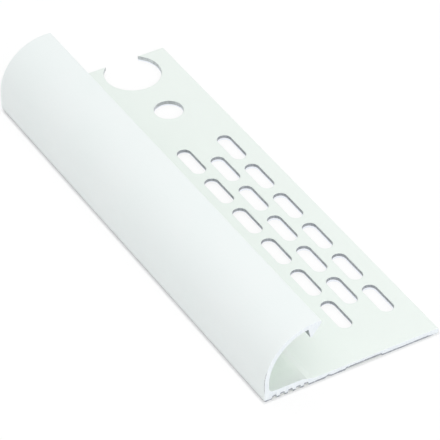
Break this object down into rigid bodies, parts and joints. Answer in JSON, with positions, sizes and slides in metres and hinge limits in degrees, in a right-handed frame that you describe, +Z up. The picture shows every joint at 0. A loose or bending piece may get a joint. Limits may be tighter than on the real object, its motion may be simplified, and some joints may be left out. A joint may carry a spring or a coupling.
{
  "type": "round-edge tile trim",
  "caption": "Short sawn length of round-edge tile trim: a curved edge with a hooked head, over a flat punched leg with grooves under it, in white-coated aluminium.",
  "frame": {"origin": "middle of the underside, on the bed that the profile lies on", "axes": "+X across the profile, from the curved edge towards the free edge of the leg; +Y along its length; +Z up, away from the bed"},
  "size_m": [0.025, 0.068, 0.0096],
  "materials": {
    "white_coated_aluminium": "satin"
  },
  "bodies": {
    "root": {"trim": "white_coated_aluminium"}
  },
  "joints": []
}
